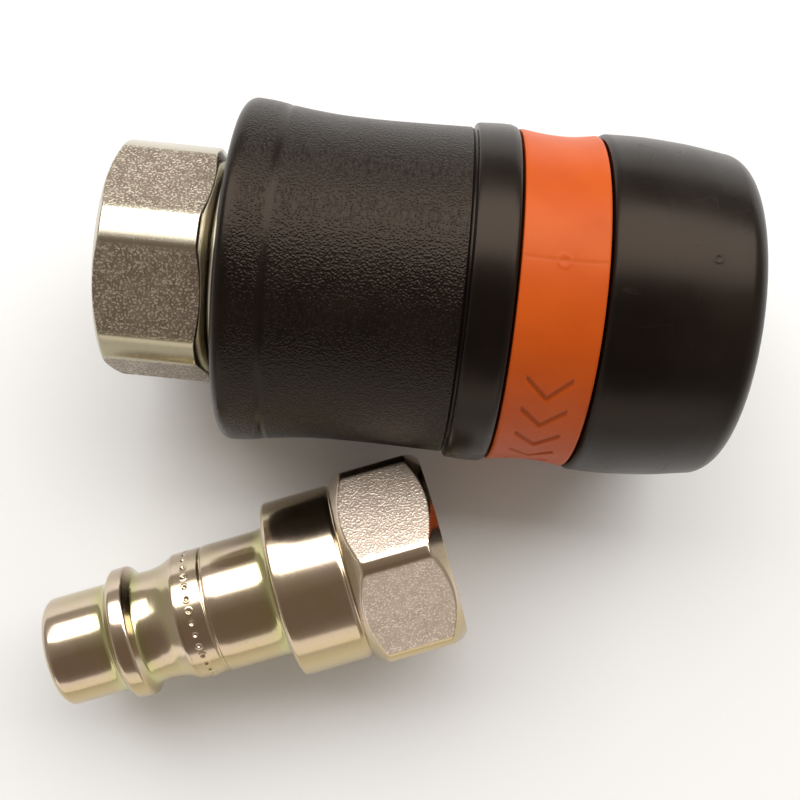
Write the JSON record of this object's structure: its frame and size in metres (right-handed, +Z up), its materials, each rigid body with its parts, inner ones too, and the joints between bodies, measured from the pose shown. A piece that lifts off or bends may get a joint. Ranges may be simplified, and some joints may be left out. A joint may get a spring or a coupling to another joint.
{
  "type": "quick disconnect coupler",
  "caption": "Push-sleeve quick disconnect coupler: a black gripped socket with an orange band and a plated steel hex, and its loose plated steel plug beside it.",
  "frame": {"origin": "on the table, under the centre of the box round both halves", "axes": "+X along the socket's axis from its hex to its mouth, +Z up from the table, and the plug lies on the -Y side with its nose towards -X"},
  "size_m": [0.09, 0.0863, 0.0464],
  "materials": {
    "zinc_steel": "bright zinc-plated steel, forged flats, turned corners",
    "turned_steel": "turned steel",
    "spring_steel": "spring steel wire and strip",
    "ball_steel": "polished ball-bearing steel",
    "plug_steel": "turned steel with a pale yellow chromate plating",
    "brass": "turned brass",
    "seal_rubber": "black nitrile rubber",
    "grip_plastic": "black plastic with a coarse spark-eroded grain",
    "cap_plastic": "black plastic, smooth",
    "band_plastic": "orange plastic, satin"
  },
  "bodies": {
    "socket_frame": {"hex_adapter": "zinc_steel", "barrel": "turned_steel", "adapter_seal": "seal_rubber", "plug_seal": "seal_rubber", "valve_guide": "brass", "valve_spring": "spring_steel", "sleeve_spring": "spring_steel", "spring_washer": "turned_steel", "snap_ring": "spring_steel"},
    "sleeve": {"lock_sleeve": "turned_steel", "rear_grip": "grip_plastic", "marker_band": "band_plastic", "front_cap": "cap_plastic"},
    "valve": {"valve_body": "brass", "valve_seal": "seal_rubber"},
    "plug": {"plug_body": "plug_steel"},
    "ball_1": {"lock_ball_1": "ball_steel"},
    "ball_2": {"lock_ball_2": "ball_steel"},
    "ball_3": {"lock_ball_3": "ball_steel"},
    "ball_4": {"lock_ball_4": "ball_steel"},
    "ball_5": {"lock_ball_5": "ball_steel"},
    "ball_6": {"lock_ball_6": "ball_steel"}
  },
  "joints": [
    {"name": "sleeve_slide", "type": "slide", "parent": "socket_frame", "child": "sleeve", "axis": [-1, 0, 0], "range_m": [0, 0.0065], "stiffness_N_per_m": 3000, "springref_m": -0.006, "deforming": ["sleeve_spring"]},
    {"name": "valve_slide", "type": "slide", "parent": "socket_frame", "child": "valve", "axis": [-1, 0, 0], "range_m": [0, 0.005], "stiffness_N_per_m": 1500, "springref_m": -0.004, "deforming": ["valve_spring"]},
    {"name": "ball_1_slide", "type": "slide", "parent": "socket_frame", "child": "ball_1", "axis": [0, 0, 1], "range_m": [0, 0.00155]},
    {"name": "ball_2_slide", "type": "slide", "parent": "socket_frame", "child": "ball_2", "axis": [0, -0.866, 0.5], "range_m": [0, 0.00155]},
    {"name": "ball_3_slide", "type": "slide", "parent": "socket_frame", "child": "ball_3", "axis": [0, -0.866, -0.5], "range_m": [0, 0.00155]},
    {"name": "ball_4_slide", "type": "slide", "parent": "socket_frame", "child": "ball_4", "axis": [0, 0, -1], "range_m": [0, 0.00155]},
    {"name": "ball_5_slide", "type": "slide", "parent": "socket_frame", "child": "ball_5", "axis": [0, 0.866, -0.5], "range_m": [0, 0.00155]},
    {"name": "ball_6_slide", "type": "slide", "parent": "socket_frame", "child": "ball_6", "axis": [0, 0.866, 0.5], "range_m": [0, 0.00155]},
    {"name": "plug_slide", "type": "slide", "parent": "socket_frame", "child": "plug", "axis": [0, -1, 0], "range_m": [0, 0.08]}
  ],
  "couplings": [
    {"joint": "ball_1_slide", "follows": "sleeve_slide", "ratio": 0.238},
    {"joint": "ball_2_slide", "follows": "sleeve_slide", "ratio": 0.238},
    {"joint": "ball_3_slide", "follows": "sleeve_slide", "ratio": 0.238},
    {"joint": "ball_4_slide", "follows": "sleeve_slide", "ratio": 0.238},
    {"joint": "ball_5_slide", "follows": "sleeve_slide", "ratio": 0.238},
    {"joint": "ball_6_slide", "follows": "sleeve_slide", "ratio": 0.238}
  ]
}
